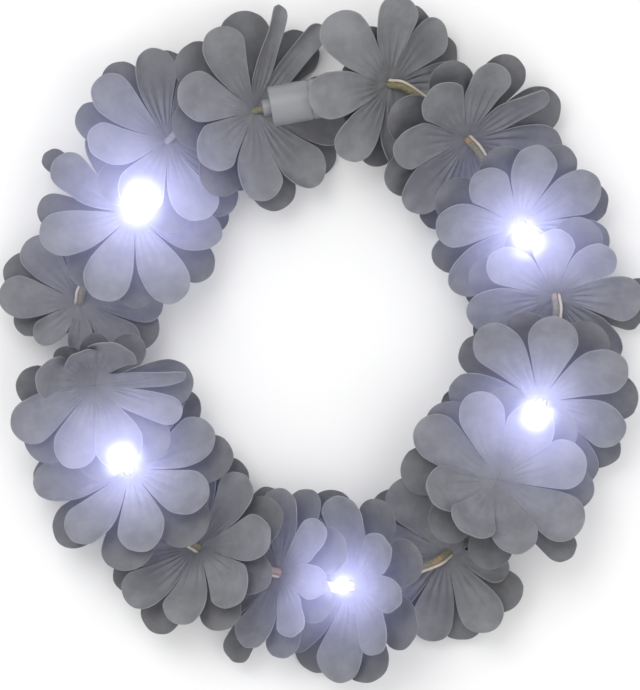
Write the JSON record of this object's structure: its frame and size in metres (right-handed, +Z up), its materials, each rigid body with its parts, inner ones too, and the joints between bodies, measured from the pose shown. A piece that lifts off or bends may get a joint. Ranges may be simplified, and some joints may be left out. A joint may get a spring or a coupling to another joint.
{
  "type": "light-up flower crown headband",
  "caption": "Closed ring of cupped cloth flowers on a wrapped wire band, worn round the head, with small lamps in some flowers and a battery capsule with a push button.",
  "frame": {"origin": "on the table, under the middle of the crown's box, which is inside the open head ring", "axes": "+Z up out of the flowers' faces, +Y towards the battery capsule, +X to the wearer's other side"},
  "size_m": [0.2464, 0.258, 0.0437],
  "materials": {
    "petal_cloth": "satin cloth, pressed petals",
    "band_wrap": "crepe tape, wound",
    "lead_sheath": "satin sheath",
    "lamp_lens": "clear, lit",
    "battery_plastic": "satin moulded"
  },
  "bodies": {
    "crown": {"band": "band_wrap", "lamp_lead": "lead_sheath", "battery_capsule": "battery_plastic", "lamp_04": "lamp_lens", "lamp_06": "lamp_lens", "lamp_09": "lamp_lens", "lamp_12": "lamp_lens", "lamp_15": "lamp_lens", "flower_01_front_petals": "petal_cloth", "flower_01_back_petals": "petal_cloth", "flower_02_front_petals": "petal_cloth", "flower_02_back_petals": "petal_cloth", "flower_03_front_petals": "petal_cloth", "flower_03_back_petals": "petal_cloth", "flower_04_front_petals": "petal_cloth", "flower_04_back_petals": "petal_cloth", "flower_05_front_petals": "petal_cloth", "flower_05_back_petals": "petal_cloth", "flower_06_front_petals": "petal_cloth", "flower_06_back_petals": "petal_cloth", "flower_07_front_petals": "petal_cloth", "flower_07_back_petals": "petal_cloth", "flower_08_front_petals": "petal_cloth", "flower_08_back_petals": "petal_cloth", "flower_09_front_petals": "petal_cloth", "flower_09_back_petals": "petal_cloth", "flower_10_front_petals": "petal_cloth", "flower_10_back_petals": "petal_cloth", "flower_11_front_petals": "petal_cloth", "flower_11_back_petals": "petal_cloth", "flower_12_front_petals": "petal_cloth", "flower_12_back_petals": "petal_cloth", "flower_13_front_petals": "petal_cloth", "flower_13_back_petals": "petal_cloth", "flower_14_front_petals": "petal_cloth", "flower_14_back_petals": "petal_cloth", "flower_15_front_petals": "petal_cloth", "flower_15_back_petals": "petal_cloth", "flower_16_front_petals": "petal_cloth", "flower_16_back_petals": "petal_cloth"},
    "switch": {"push_button": "battery_plastic"}
  },
  "joints": [
    {"name": "button_press", "type": "slide", "parent": "crown", "child": "switch", "axis": [0.9834, 0.1813, 0], "range_m": [0, 0.0012], "stiffness_N_per_m": 300}
  ]
}
